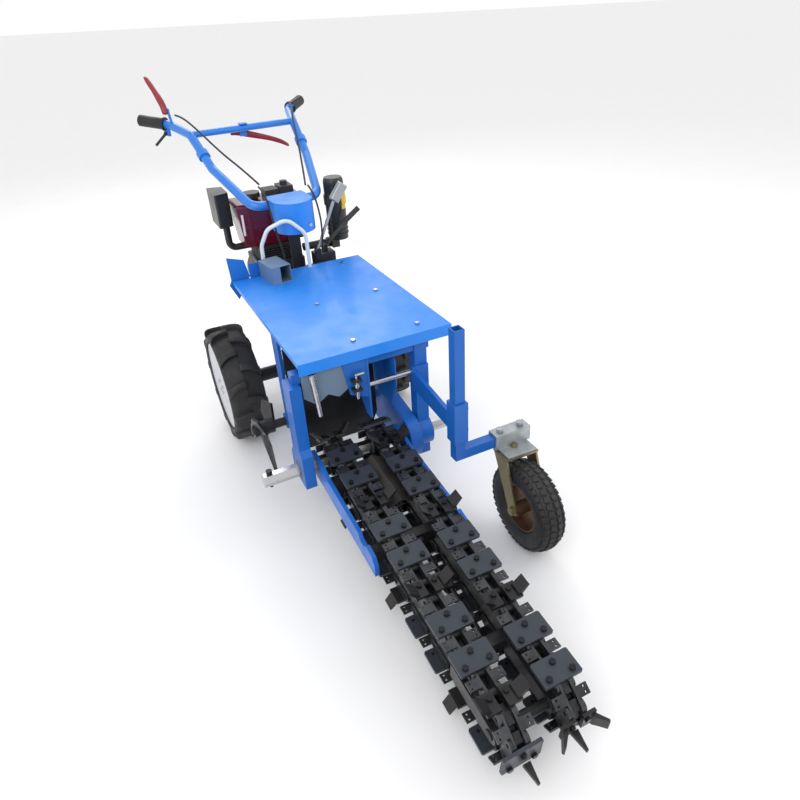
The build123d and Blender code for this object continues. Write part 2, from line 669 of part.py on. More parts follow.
def nose_fork(side):
    x = CHAIN_X[side]
    shape = None
    for x0 in (x - SIDEBAR_OUT - 12, x + SIDEBAR_OUT + 4):
        arm = block(x0, x0 + 8, -BOOM_LENGTH, -BOOM_LENGTH + 160, -22, 22)
        arm += x_rod(x0, x0 + 8, -BOOM_LENGTH, 0, 22)
        arm -= x_rod(x0 - 1, x0 + 9, -BOOM_LENGTH, 0, 12.5 + CLEARANCE)
        shape = arm if shape is None else shape + arm
    tie = block(x - SIDEBAR_OUT - 4, x - 20, -BOOM_LENGTH + 110, -BOOM_LENGTH + 150, -18, 18)
    tie += block(x + 20, x + SIDEBAR_OUT + 4, -BOOM_LENGTH + 110, -BOOM_LENGTH + 150, -18, 18)
    return on_boom(group([shape + tie]))


def nose_shaft():
    reach = SIDEBAR_OUT + 15
    return on_boom(x_rod(CHAIN_X[0] - reach, CHAIN_X[1] + reach, -BOOM_LENGTH, 0, 12.5))


def nose_idlers():
    bore = x_rod(-60, 60, 0, 0, 12.5)
    wheel = chain_sprocket(bore)
    return on_boom(group([Pos(x, -BOOM_LENGTH, 0) * wheel for x in CHAIN_X]))


def drive_rollers():
    return on_boom(group([Pos(x, 0, 0) * Rot(180, 0, 0) * r for x in CHAIN_X for r in seated_rollers()]))


def nose_rollers():
    return on_boom(group([Pos(x, -BOOM_LENGTH, 0) * r for x in CHAIN_X for r in seated_rollers()]))


# --- gauge wheel ---------------------------------------------------------------------------------------
def square_tube_z(x, y, z0, z1, size, wall):
    half = size / 2
    outer = block(x - half, x + half, y - half, y + half, z0, z1)
    inner = half - wall
    return outer - block(x - inner, x + inner, y - inner, y + inner, z0 - 1, z1 + 1)


def gauge_bracket():
    """The sleeve, and the two arms that carry it from the side post."""
    half = GAUGE_TUBE / 2 + CLEARANCE
    outer = half + SLEEVE_WALL
    z1 = SLEEVE_TOP
    z0 = z1 - SLEEVE_HEIGHT
    sleeve = block(GAUGE_X - outer, GAUGE_X + outer, GAUGE_Y - outer, GAUGE_Y + outer, z0, z1)
    sleeve -= block(GAUGE_X - half, GAUGE_X + half, GAUGE_Y - half, GAUGE_Y + half, z0 - 1, z1 + 1)
    front = SPROCKET_Y - POST / 2 - 3
    arm = x_plate([(front, 470), (front, 410), (GAUGE_Y + outer, z0 + 12), (GAUGE_Y + outer, z0 + 64)],
                  GAUGE_X - 4, GAUGE_X + 8)
    foot = block(GAUGE_X - 4, POST_X + POST / 2, front - 8, front, 400, 480)
    bracket = sleeve + arm + foot
    for z in (z0 + 28, z1 - 28):
        bracket -= x_rod(GAUGE_X + half - 1, GAUGE_X + outer + 2, GAUGE_Y, z, 5)
    return bracket


def gauge_lock_bolts():
    half = GAUGE_TUBE / 2 + CLEARANCE
    outer = half + SLEEVE_WALL
    bolt = Rot(0, 90, 0) * hex_bolt(16, 9, 10, SLEEVE_WALL)
    z1 = SLEEVE_TOP
    places = (z1 - SLEEVE_HEIGHT + 28, z1 - 28)
    return group([Pos(GAUGE_X + outer, GAUGE_Y, z) * bolt for z in places])


def gauge_post():
    post = square_tube_z(GAUGE_X, GAUGE_Y, GAUGE_BOTTOM, GAUGE_TOP, GAUGE_TUBE, 3)
    half = GAUGE_TUBE / 2
    foot = block(GAUGE_X - half, CASTER_X - 58, GAUGE_Y - half, GAUGE_Y + half,
                 GAUGE_BOTTOM, GAUGE_BOTTOM + GAUGE_TUBE)
    return post + foot


def caster_clamp():
    z = GAUGE_BOTTOM + GAUGE_TUBE
    shell = block(CASTER_X - 58, CASTER_X + 58, GAUGE_Y - 20, GAUGE_Y + 20, z - 38, z + 8)
    plate = block(CASTER_X - 48, CASTER_X + 48, CASTER_Y - 40, GAUGE_Y + 26, z - 44, z - 38)
    clamp = shell + plate
    return clamp - z_rod(CASTER_X, CASTER_Y, z - 60, z - 30, 10 + CLEARANCE)


def clamp_bolts():
    z = GAUGE_BOTTOM + GAUGE_TUBE + 8
    top = hex_bolt(19, 10, 12, 1)
    bolts = [Pos(CASTER_X + s * 34, GAUGE_Y, z + 1) * top for s in (-1, 1)]
    return group(bolts)


def caster_fork():
    z = GAUGE_BOTTOM + GAUGE_TUBE - 44 - AIR_GAP
    axle_z = GAUGE_WHEEL / 2
    axle_y = CASTER_Y - CASTER_TRAIL
    half = GAUGE_WIDTH / 2 + 6
    fork = block(CASTER_X - half, CASTER_X + half, CASTER_Y - 42, CASTER_Y + 30, z - FORK_PLATE, z)
    fork += z_rod(CASTER_X, CASTER_Y, z - 1, z + 13, 10)
    for x0 in (CASTER_X - half, CASTER_X + half - FORK_PLATE):
        leg = x_plate([(CASTER_Y - 34, z), (CASTER_Y + 28, z), (axle_y + 20, axle_z - 6),
                       (axle_y, axle_z - 20), (axle_y - 20, axle_z - 2)], x0, x0 + FORK_PLATE)
        fork += leg - x_rod(x0 - 1, x0 + FORK_PLATE + 1, axle_y, axle_z, 8)
    return fork


def gauge_axle():
    half = GAUGE_WIDTH / 2 + 6
    y = CASTER_Y - CASTER_TRAIL
    z = GAUGE_WHEEL / 2
    axle = x_rod(CASTER_X - half - 2, CASTER_X + half + 2, y, z, 8)
    for x in (CASTER_X - half - 8, CASTER_X + half):
        axle += hex_x(x, x + 8, y, z, 24)
    return axle


def gauge_rim():
    y = CASTER_Y - CASTER_TRAIL
    place = Pos(CASTER_X, y, GAUGE_WHEEL / 2) * Rot(0, 90, 0)
    ring = Cylinder(GAUGE_RIM / 2 - 0.4, GAUGE_WIDTH * 0.62) - Cylinder(GAUGE_RIM / 2 - 4, GAUGE_WIDTH)
    disc = Cylinder(GAUGE_RIM / 2 - 3, 8) + Cylinder(20, GAUGE_WIDTH - 2)
    return place * (ring + disc - Cylinder(8 + CLEARANCE, GAUGE_WIDTH + 10))


def gauge_tyre():
    shape = tyre(GAUGE_WHEEL / 2, GAUGE_WIDTH, GAUGE_RIM / 2, 0, 0)
    return Pos(CASTER_X, CASTER_Y - CASTER_TRAIL, GAUGE_WHEEL / 2) * shape


# --- engine --------------------------------------------------------------------------------------------
def engine_block():
    block_ = block(-88, 88, ENGINE_Y - 90, ENGINE_Y + 100, 397, 560)
    block_ += block(-62, 62, ENGINE_Y - 62, ENGINE_Y + 62, 559, 618)
    for k in range(6):
        z = 566 + 9 * k
        block_ += block(-78, 78, ENGINE_Y - 78, ENGINE_Y + 78, z, z + 4)
    return block_


def bell_housing():
    y0 = AXLE_Y + 120
    y1 = ENGINE_Y - 90
    return Pos(0, (y0 + y1) / 2, 450) * Rot(90, 0, 0) * Cone(74, 60, y1 - y0)


def fuel_tank():
    top = make_face(Polyline((-138, 212), (-100, 206), (128, 206), (128, 344), (-138, 344), close=True))
    low = make_face(Polyline((-122, 222), (-84, 216), (112, 222), (112, 338), (-122, 338), close=True))
    body = loft([Pos(0, 0, 625) * low, Pos(0, 0, 788) * top])
    body = fillet(body.edges().group_by(Axis.Z)[-1], 12)
    return body - z_rod(-60, 270, 740, 800, 24)


def fuel_cap():
    return z_rod(-60, 270, 776, 800, 23) + z_rod(-60, 270, 796, 814, 32)


def injector_pump():
    return block(-14, 36, 236, 300, 788, 818) + block(44, 96, 240, 310, 788, 822) + z_rod(70, 275, 821, 836, 14)


def muffler():
    can = make_face(Polyline((-146, 258), (-146, 362), (-200, 378), (-200, 244), close=True))
    body = extrude(Pos(0, 0, 705) * can, 123)
    body = fillet(body.edges().filter_by(Axis.Z), 6)
    return body


def exhaust_pipe():
    return tube([(-168, 300, 705), (-168, 300, 611), (-79, 300, 611)], 26, 13)


def air_filter():
    can = z_rod(224, 150, 620, 830, 38)
    dome = Pos(224, 150, 830) * Sphere(38)
    dome = dome & block(180, 270, 100, 200, 830, 850)
    for k in range(4):
        can += z_rod(224, 150, 640 + 16 * k, 644 + 16 * k, 41)
    return can + dome


def air_filter_clip():
    ring = z_rod(224, 150, 752, 786, 42) - z_rod(224, 150, 740, 800, 38)
    return ring


def filter_pipe():
    return x_rod(88, 200, 190, 596, 15) + x_rod(188, 218, 190, 596, 20) + \
        block(196, 226, 150, 190, 582, 614)


def recoil_starter():
    drum = Pos(0, ENGINE_Y + 100, 470) * Rot(90, 0, 0) * Cylinder(92, 50)
    drum = Pos(0, 25, 0) * drum
    return drum


def recoil_handle():
    grip = x_rod(-26, 26, ENGINE_Y + 164, 530, 9)
    return grip + rod((0, ENGINE_Y + 150, 530), (0, ENGINE_Y + 164, 530), 4)


def handle_column():
    column = block(10, 50, 84, 99, GEARBOX_TOP, HANDLE_Z + 4)
    column += block(-20, 58, 70, 99, GEARBOX_TOP, GEARBOX_TOP + 20)
    return column


def place_handle(shape):
    return Pos(HANDLE_X, HANDLE_Y, HANDLE_Z) * Rot(0, 0, HANDLE_YAW) * shape


def hinge_block():
    bore = HANDLE_TUBE / 2 + CLEARANCE
    body = block(-22, 22, -26, 24, -26, HANDLE_TUBE / 2 + 2) - x_rod(-40, 40, 0, 0, bore)
    return place_handle(body)


def cowl():
    """A hood with a flat top and a round front, open below, with a slot in each side for the hinge tube."""
    shapes = []
    for inset, z0, z1 in ((0, -86, 22), (SHEET, -87, 22 - SHEET)):
        d = Pos(0, -58, 0) * Circle(72 - inset) + Pos(0, -16, 0) * Rectangle(144 - 2 * inset, 92 - 2 * inset)
        shapes.append(extrude(Pos(0, 0, z0) * d, z1 - z0))
    hood = shapes[0] - shapes[1]
    hood -= block(-80, 80, -HANDLE_TUBE / 2 - 8, 40, -90, HANDLE_TUBE / 2 + 3 - 2)
    return place_handle(hood)


def cowl_bolt():
    bolt = Rot(90, 0, 0) * hex_bolt(12, 5, 6, SHEET)
    return place_handle(Pos(34, -58 - math.sqrt(72 ** 2 - 34 ** 2) - 0.2, -62) * bolt)


def guard_hoop():
    points = [(-116, 18, 560), (-113, 16, 690), (-88, 0, 748), (-18, -14, 776), (42, -15, 716),
              (42, -15, COVER_TOP)]
    return tube(points, [60, 40, 40, 50], 7)


# --- handlebar: symmetrical about X = 0, with its hinge tube along X through the origin -------------------
def handle_points():
    half = [(HANDLE_HALF, 0, 0), (186, 225, 103), (205, 375, 203), (244, 515, 227), (330, 600, 243)]
    left = [(-x, y, z) for x, y, z in reversed(half)]
    return left + half


def handlebar():
    points = handle_points()
    radii = [60, 60, 60, 45, 45, 60, 60, 60]
    frame = tube(points, radii, HANDLE_TUBE / 2, HANDLE_WALL)
    return place_handle(frame)


def handle_crossbar():
    x, y, z = handle_points()[7]
    bar = x_rod(-x, x, y, z, 12.5)
    return place_handle(bar - handle_core())


def handle_core():
    points = handle_points()
    return tube(points, [60, 60, 60, 45, 45, 60, 60, 60], HANDLE_TUBE / 2)


def grip_line(side):
    end = Vector(*handle_points()[-1])
    before = Vector(*handle_points()[-2])
    direction = (end - before).normalized()
    start = end - direction * (GRIP_LENGTH - 6)
    flip = Vector(side, 1, 1)
    scale = lambda v: Vector(v.X * flip.X, v.Y, v.Z)
    return scale(start), scale(end), scale(direction)


def grip(side):
    start, end, direction = grip_line(side)
    tip = end + direction * 4
    outer = rod(tuple(start), tuple(tip), HANDLE_TUBE / 2 + 5)
    collar = rod(tuple(start), tuple(start + direction * 6), HANDLE_TUBE / 2 + 9)
    core = rod(tuple(start - direction * 5), tuple(end), HANDLE_TUBE / 2)
    return place_handle(outer + collar - core)


def handle_clamps():
    """The two clamps half way up the tubes and the three lever mounts, all fixed to the handlebar."""
    parts = []
    for side in (-1, 1):
        a = Vector(side * 186, 225, 103)
        b = Vector(side * 205, 375, 203)
        direction = (b - a).normalized()
        start = a + direction * 60
        end = start + direction * 26
        ring = rod(tuple(start), tuple(end), HANDLE_TUBE / 2 + 6)
        parts.append(ring - rod(tuple(start - direction * 2), tuple(end + direction * 2), HANDLE_TUBE / 2))
    return place_handle(group(parts))


LEFT_LEVER = (-255, 490, 278)         # pivots, in the handlebar's own frame
CROSS_LEVER = (0, 396, 183)
SQUEEZE_LEVER = (-262, 531, 196)
THROTTLE_LEVER = (252, 500, 250)
GEAR_LEVER = (96, 40, 623)            # pivots, in the machine's frame
PTO_LEVER = (134, 70, 623)
LATCH = (-79, -708)


def lever_mounts():
    x, y, z = LEFT_LEVER
    left = rod((x + 18, y + 6, z - 56), (x + 12, y, z - 12), 5)
    left += block(x + 8.5, x + 14.5, y - 10, y + 10, z - 14, z + 10)
    cx, cy, cz = CROSS_LEVER
    cross = block(-14, 14, cy - 8.5, cy - 4.5, cz - 12, 203 + 16) + block(-14, 14, 362, cy - 5, 216, 221)
    sx, sy, sz = SQUEEZE_LEVER
    squeeze = block(sx + 3, sx + 14, sy - 26, sy - 5, sz - 8, sz + 22)
    tx, ty, tz = THROTTLE_LEVER
    throttle = block(tx - 14, tx + 8, ty - 12, ty + 16, tz - 11, tz - 4)
    return place_handle(group([left, cross, squeeze, throttle]) - handle_core())


def left_lever():
    x, y, z = LEFT_LEVER
    arm = rod((x, y, z), (x - 26, y + 106, z + 115), 7)
    pivot = x_rod(x - 9, x + 8.2, y, z, 9)
    return place_handle(arm + pivot)


def cross_lever():
    x, y, z = CROSS_LEVER
    arm = y_plate([(-50, z + 14), (-20, z + 12), (30, z - 2), (110, z - 28), (183, z - 66), (187, z - 82),
                   (170, z - 78), (100, z - 46), (20, z - 18), (-48, z - 4)], y - 4, y + 5)
    return place_handle(arm + Pos(x, y, z) * Rot(90, 0, 0) * Cylinder(11, 9))


def squeeze_lever():
    x, y, z = SQUEEZE_LEVER
    arm = rod((x, y, z), (x - 47, y + 2, z - 39), 5)
    return place_handle(arm + Pos(x, y, z) * Rot(90, 0, 0) * Cylinder(8, 9.4))


def throttle_lever():
    x, y, z = THROTTLE_LEVER
    arm = rod((x, y, z), (x + 52, y - 2, z + 20), 4)
    return place_handle(arm + z_rod(x, y, z - 2.7, z + 5, 8))


def gear_lever():
    x, y, z = GEAR_LEVER
    stick = rod((x, y, z), (x + 82, y, z + 170), 6) + Pos(x, y, z) * Rot(90, 0, 0) * Cylinder(9, 10)
    return stick


def gear_grip():
    x, y, z = GEAR_LEVER
    start = Vector(x + 82, y, z + 170)
    line = Vector(44, 0, 56)
    place = Plane(origin=tuple(start), x_dir=(0, 1, 0), z_dir=line)
    return fillet(extrude(place * Rectangle(28, 34), 70).edges(), 5)


def pto_lever():
    x, y, z = PTO_LEVER
    return rod((x, y, z), (x + 92, y, z + 80), 6) + Pos(x, y, z) * Rot(90, 0, 0) * Cylinder(9, 10)


def pto_grip():
    x, y, z = PTO_LEVER
    return rod((x + 92, y, z + 80), (x + 150, y, z + 120), 10)


def lever_brackets():
    parts = []
    for x, y, z in (GEAR_LEVER, PTO_LEVER):
        for side in (-1, 1):
            parts.append(block(x - 10, x + 10, y + side * 7.5 - 1.5, y + side * 7.5 + 1.5, 612, z + 10))
    return group(parts)


def latch_bracket():
    x, y = LATCH
    return group([block(x - 14, x + 14, y - 8, -694, z, z + 8) - z_rod(x, y, z - 1, z + 9, 4 + CLEARANCE)
                  for z in (466, 496)])


def latch_pin():
    x, y = LATCH
    return z_rod(x, y, 440, 522, 4) + x_rod(x - 4, x + 24, y, 518, 4) + z_rod(x, y, 478, 490, 7)


def hook_rod():
    return rod((-205, -700, 548), (-196, -706, 420), 7) + block(-212, -192, -703, -688, 530, 552)


def handle_cables():
    upper = [(-222, 486, 262), (-212, 430, 262), (-190, 330, 230), (-150, 200, 160), (-110, 90, 110),
             (-84, 20, 70)]
    right = [(240, 484, 252), (226, 420, 262), (184, 320, 222), (150, 200, 150), (110, 80, 70),
             (88, 20, 40)]
    return [place_handle(tube(points, [60, 60, 60, 60], 3.5)) for points in (upper, right)]


def gearbox_cables():
    left = [(-60, 134, 860), (-60, 76, 858), (-58, 40, 812), (-54, 20, 740), (-30, 22, 610), (-26, 44, 502)]
    right = [(126, 150, 834), (128, 100, 818), (122, 40, 756), (118, 24, 700), (112, 30, 616)]
    return [tube(left, [30, 40, 60, 60], 3.5), tube(right, [30, 40, 60], 3.5)]


# --- build and save --------------------------------------------------------------------------------------
def chassis():
    frame = main_frame() + side_post() + side_arm() + mid_plate() + auger_hanger()
    return {
        "cover_plate": cover_plate(),
        "frame_bolts": group([cover_bolts(), gauge_lock_bolts(), cowl_bolt()]),
        "main_frame": group([frame, engine_bed()]),
        "guard_sheets": group([curtain(), chain_guard(), dirt_shield(), left_wing(), rear_shield()]),
        "frame_rods": group([cross_rod(), hook_rod()]),
        "control_box": control_box(),
        "axle_tubes": group([axle_tube(-1), axle_tube(1)]),
        "gearbox": gearbox() + gear_housing(),
        "chain_case": chain_case(),
        "chain_case_cover": case_cover(),
        "gauge_bracket": gauge_bracket(),
        "engine": group([engine_block() + bell_housing(), injector_pump()]),
        "fuel_tank": fuel_tank(),
        "fuel_cap": fuel_cap(),
        "muffler": group([muffler(), exhaust_pipe()]),
        "air_filter": group([air_filter() + air_filter_clip(), filter_pipe()]),
        "recoil_starter": recoil_starter(),
        "handle_column": handle_column() + hinge_block(),
        "cowl": cowl() - cowl_bolt(),
        "guard_hoop": guard_hoop(),
        "lever_brackets": group([lever_brackets(), latch_bracket()]),
        "gearbox_cables": group(gearbox_cables()),
    }


def wheels():
    return {"left_tyre": drive_tyre(-1), "left_rim": wheel_rim(-1),
            "right_tyre": drive_tyre(1), "right_rim": wheel_rim(1)}


def drive_line():
    driven = case_sprocket(CASE_TEETH, SPROCKET_Y, SPROCKET_Z, 12)
    driven -= hex_x(CASE_X - 20, CASE_X + 20, SPROCKET_Y, SPROCKET_Z, HEX)
    return {
        "hex_shaft": hex_shaft(),
        "hex_pin": hex_pin(),
        "shaft_bearings": shaft_bearings(),
        "drive_sprockets": group([drive_sprockets(), driven, drive_rollers()]),
        "auger_shaft": auger_shaft() + case_sprocket(CASE_TEETH, AUGER_Y, AUGER_Z, 12),
        "spoil_auger": spoil_auger(),
        "pto_shaft": pto_shaft() + case_sprocket(PTO_TEETH, PTO_Y, PTO_Z, 12),
        "nose_shaft": nose_shaft(),
        "nose_idlers": group([nose_idlers(), nose_rollers()]),
    }


def boom():
    frame = boom_rail(0) + boom_rail(1) + boom_cross_bars() + yoke_plate(0) + yoke_plate(1)
    frame += nose_fork(0) + nose_fork(1)
    return {
        "boom_frame": group([frame]),
        "boom_cover": boom_cover(),
        "tension_screw": tension_screw(),
        "chain_side_bars": group([chain_side_bars(0), chain_side_bars(1)]),
        "chain_rollers": chain_rollers(),
        "chain_pins": chain_pins(),
        "flight_plates": group([flight_plates(0), flight_plates(1)]),
        "cutters": group([cutters(0), cutters(1), nose_spikes()]),
        "plate_bolts": plate_bolts(),
    }


def gauge():
    return {
        "gauge_post": gauge_post(),
        "caster_clamp": group([caster_clamp(), clamp_bolts()]),
        "caster_fork": group([caster_fork(), gauge_axle()]),
        "gauge_rim": gauge_rim(),
        "gauge_tyre": gauge_tyre(),
    }


def handles():
    return {
        "handlebar": group([handlebar() + handle_crossbar(), lever_mounts(), handle_clamps()]),
        "grips": group([grip(-1), grip(1)]),
        "handle_cables": group(handle_cables()),
        "left_lever": left_lever(),
        "cross_lever": cross_lever(),
        "squeeze_lever": squeeze_lever(),
        "throttle_lever": throttle_lever(),
        "gear_lever": gear_lever() + gear_grip(),
        "pto_lever": pto_lever() + pto_grip(),
        "latch_pin": latch_pin(),
        "recoil_handle": recoil_handle(),
    }


def shift_to_origin(shapes):
    """The move that puts the origin under the middle of the whole object's box."""
    boxes = [shape.bounding_box() for shape in shapes]
    low = [min(getattr(b.min, a) for b in boxes) for a in "XYZ"]
    high = [max(getattr(b.max, a) for b in boxes) for a in "XYZ"]
    return (-(low[0] + high[0]) / 2, -(low[1] + high[1]) / 2, -low[2])


pieces = {**chassis(), **wheels(), **drive_line(), **boom(), **gauge(), **handles()}
SHIFT = shift_to_origin(pieces.values())
print("nodes", len(pieces), "shift", SHIFT)
os.makedirs("parts", exist_ok=True)
for name, shape in pieces.items():
    export_step(Pos(*SHIFT) * shape, f"parts/{name}.step")
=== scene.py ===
# %% [markdown]
# # A walking trencher, dressed around its frame
# The frame holds every part at its real size and place. This script adds the camera, the light,
# the finishes, and the pieces that are soft or moulded: tyres, dipped levers, ties and cables.

# %% Load the frame
import math

import bpy
from mathutils import Matrix, Vector


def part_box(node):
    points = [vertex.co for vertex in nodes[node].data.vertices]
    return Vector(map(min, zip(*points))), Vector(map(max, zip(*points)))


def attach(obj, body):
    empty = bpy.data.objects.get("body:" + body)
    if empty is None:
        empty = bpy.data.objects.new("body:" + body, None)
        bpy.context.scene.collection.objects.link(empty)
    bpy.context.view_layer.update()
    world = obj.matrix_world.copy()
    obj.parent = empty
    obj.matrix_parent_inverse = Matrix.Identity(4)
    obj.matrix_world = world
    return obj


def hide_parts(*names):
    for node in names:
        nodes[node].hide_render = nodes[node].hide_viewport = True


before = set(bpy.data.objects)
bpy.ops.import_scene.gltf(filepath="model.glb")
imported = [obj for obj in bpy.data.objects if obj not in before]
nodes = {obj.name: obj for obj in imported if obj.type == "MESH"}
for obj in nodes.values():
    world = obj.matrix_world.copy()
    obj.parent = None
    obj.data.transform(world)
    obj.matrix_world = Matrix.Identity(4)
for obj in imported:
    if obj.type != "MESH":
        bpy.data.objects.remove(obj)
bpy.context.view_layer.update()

# %% [markdown]
# ## Camera
# The machine is seen from in front of its boom, to the left and from above, with a slightly wide
# lens and a small roll. The camera's axes are worked out from those three angles.

# %% Camera
LENS_MM = 29.24
AZIMUTH = math.radians(-25.7)
ELEVATION = math.radians(32.3)
ROLL = math.radians(-3.1)
CAMERA_PLACE = Vector((-0.6135, -1.7379, 1.4333))
SHIFT_X = -0.0174
SHIFT_Y = -0.0031
CLIP_END = 40


def camera_axes():
    back = Vector((math.sin(AZIMUTH) * math.cos(ELEVATION), -math.cos(AZIMUTH) * math.cos(ELEVATION),
                   math.sin(ELEVATION)))
    level = Vector((math.cos(AZIMUTH), math.sin(AZIMUTH), 0))
    up = back.cross(level)
    right = math.cos(ROLL) * level + math.sin(ROLL) * up
    return right, back.cross(right), back


bpy.ops.object.camera_add(location=CAMERA_PLACE)
camera = bpy.context.object
right, up, back = camera_axes()
camera.matrix_world = Matrix.Translation(CAMERA_PLACE) @ Matrix((right, up, back)).transposed().to_4x4()
camera.data.lens = LENS_MM
camera.data.shift_x = SHIFT_X
camera.data.shift_y = SHIFT_Y
camera.data.clip_end = CLIP_END
bpy.context.scene.camera = camera

# %% [markdown]
# ## Floor and light
# A pale, wide floor and three large soft lamps: one above and to the left, one to fill the right
# side, and one behind that gives the paint and the steel an edge.

# %% Floor and lamps
FLOOR_HALF = 60
FLOOR_DROP = 0.0005


def lamp(name, place, target, size, watts):
    bpy.ops.object.light_add(type="AREA", location=place)
    light = bpy.context.object
    light.name = name
    light.data.size = size
    light.data.energy = watts
    light.rotation_euler = (Vector(target) - Vector(place)).to_track_quat("-Z", "Y").to_euler()


bpy.ops.mesh.primitive_plane_add(size=2 * FLOOR_HALF, location=(0, 0, -FLOOR_DROP))
floor = bpy.context.object
floor.name = "floor"
lamp("key", (-2.4, -2.6, 3.6), (0, -0.2, 0.3), 2.6, 70)
lamp("fill", (3.2, -1.2, 2.4), (0, -0.2, 0.3), 2.6, 30)
lamp("rim", (0.6, 3.4, 3.2), (0, 0, 0.5), 2.2, 45)
world = bpy.data.worlds.new("studio") if not bpy.context.scene.world else bpy.context.scene.world
bpy.context.scene.world = world
world.use_nodes = True
world.node_tree.nodes["Background"].inputs["Color"].default_value = (1, 1, 1, 1)
world.node_tree.nodes["Background"].inputs["Strength"].default_value = 1.0
bpy.context.scene.view_settings.view_transform = "Standard"

# %% [markdown]
# ## Finishes
# Every finish starts from the same recipe: a base colour broken up by soft clouds of a second
# tone, a gloss that varies a little, and a fine bump. A rounded normal from the Bevel node softens
# the sharp edges of plate and bar. A piece with two colours gets the second one inside a box, which
# is simpler than a painted mask and stays in place at any size of picture. Two boxes on the guard
# sheets hold painted shade: one darkens a grey sheet, the other paints shade inside the guard.


# %% Finish recipe
def inside(tree, coords, low, high):
    """1 where a point lies in the box from low to high, 0 elsewhere."""
    split = tree.nodes.new("ShaderNodeSeparateXYZ")
    tree.links.new(coords.outputs["Object"], split.inputs[0])
    share = None
    for axis in range(3):
        for limit, operation in ((low[axis], "GREATER_THAN"), (high[axis], "LESS_THAN")):
            test = tree.nodes.new("ShaderNodeMath")
            test.operation = operation
            tree.links.new(split.outputs[axis], test.inputs[0])
            test.inputs[1].default_value = limit
            if share is not None:
                both = tree.nodes.new("ShaderNodeMath")
                both.operation = "MULTIPLY"
                tree.links.new(share, both.inputs[0])
                tree.links.new(test.outputs[0], both.inputs[1])
                test = both
            share = test.outputs[0]
    return share


def finish(name, colour, rough, metal=0.0, tone=None, tone_share=0.25, scale=6.0, grain=180.0,
           bump=0.05, coat=0.0, edge=0.0012, specular=0.5, zones=()):
    material = bpy.data.materials.new(name)
    material.use_nodes = True
    tree = material.node_tree
    shader = tree.nodes["Principled BSDF"]
    coords = tree.nodes.new("ShaderNodeTexCoord")

    def noise(size, detail):
        node = tree.nodes.new("ShaderNodeTexNoise")
        node.inputs["Scale"].default_value = size
        node.inputs["Detail"].default_value = detail
        tree.links.new(coords.outputs["Object"], node.inputs["Vector"])
        return node

    def ramp(source, low, high, first, second):
        node = tree.nodes.new("ShaderNodeMapRange")
        node.inputs["From Min"].default_value = low
        node.inputs["From Max"].default_value = high
        node.inputs["To Min"].default_value = first
        node.inputs["To Max"].default_value = second
        tree.links.new(source, node.inputs["Value"])
        return node.outputs["Result"]

    def mix(share, first, second):
        node = tree.nodes.new("ShaderNodeMix")
        node.data_type = "RGBA"
        tree.links.new(share, node.inputs["Factor"])
        for socket, value in ((6, first), (7, second)):
            if isinstance(value, tuple):
                node.inputs[socket].default_value = (*value, 1)
            else:
                tree.links.new(value, node.inputs[socket])
        return node.outputs[2]

    cloud = noise(scale, 6)
    second = tone or tuple(0.6 * c for c in colour)
    paint = mix(ramp(cloud.outputs["Fac"], 0.35, 0.75, 0, tone_share * 2), colour, second)
    for low, high, zone_colour in zones:
        paint = mix(inside(tree, coords, low, high), paint, zone_colour)
    tree.links.new(paint, shader.inputs["Base Color"])
    tree.links.new(ramp(noise(scale * 3, 5).outputs["Fac"], 0.3, 0.7, rough * 0.8, min(1, rough * 1.25)),
                   shader.inputs["Roughness"])
    shader.inputs["Metallic"].default_value = metal
    shader.inputs["Coat Weight"].default_value = coat
    shader.inputs["Coat Roughness"].default_value = 0.08
    shader.inputs["Specular IOR Level"].default_value = specular
    round_edge = tree.nodes.new("ShaderNodeBevel")
    round_edge.samples = 4
    round_edge.inputs["Radius"].default_value = edge
    height = tree.nodes.new("ShaderNodeBump")
    height.inputs["Strength"].default_value = bump
    height.inputs["Distance"].default_value = 0.001
    tree.links.new(noise(grain, 4).outputs["Fac"], height.inputs["Height"])
    tree.links.new(round_edge.outputs["Normal"], height.inputs["Normal"])
    tree.links.new(height.outputs["Normal"], shader.inputs["Normal"])
    return material


# %% Finishes of this machine
cover_low, cover_high = (Vector(corner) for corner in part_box("cover_plate"))
MIDDLE_X = (cover_low.x + cover_high.x) / 2
COVER_BACK = cover_high.y


def zone(x, y, z):
    """A box from the middle of the cover plate's back edge, as two corners in the shared frame."""
    place = (MIDDLE_X, COVER_BACK, 0)
    return tuple(tuple(place[a] + (x, y, z)[a][side] for a in range(3)) for side in (0, 1))


ALL = (-5, 5)
cover_blue = finish("cover_blue", (0.012, 0.2, 0.72), 0.42, tone=(0.016, 0.23, 0.78), coat=0.12, bump=0.02,
                    specular=0.4)
handle_blue = finish("handle_blue", (0.01, 0.17, 0.62), 0.34, tone=(0.012, 0.2, 0.68), coat=0.25, bump=0.02)
frame_blue = finish("frame_blue", (0.004, 0.1, 0.42), 0.4, tone=(0.005, 0.12, 0.48), coat=0.12, bump=0.04,
                    specular=0.4)
boom_blue = finish("boom_blue", (0.005, 0.12, 0.5), 0.38, tone=(0.006, 0.14, 0.56), coat=0.12, bump=0.04,
                   zones=[(*zone((-0.2135, 0.0455), ALL, ALL), (0.012, 0.012, 0.014))])
guard_blue = finish("guard_blue", (0.006, 0.13, 0.5), 0.42, tone=(0.007, 0.15, 0.56), coat=0.1, bump=0.04,
                    # The grey-blue box on the guard's front, under the deck, is a grey sheet darkened with
                    # painted shade.
                    zones=[(*zone((-0.24, -0.041), (-0.692, -0.68), (0.4, 0.56)), (0.13, 0.19, 0.27)),
                           # The near-black box further in is painted shade inside the guard.
                           (*zone((-0.24, 0.049), (-0.53, -0.515), (0.1, 0.57)), (0.006, 0.006, 0.008))])
sheet_grey_blue = finish("sheet_grey_blue", (0.16, 0.25, 0.38), 0.38, metal=0.3, tone=(0.1, 0.16, 0.26))
chain_black = finish("chain_black", (0.012, 0.012, 0.014), 0.42, metal=0.3, tone=(0.028, 0.028, 0.031),
                     bump=0.2, scale=14, grain=240, edge=0.0009)
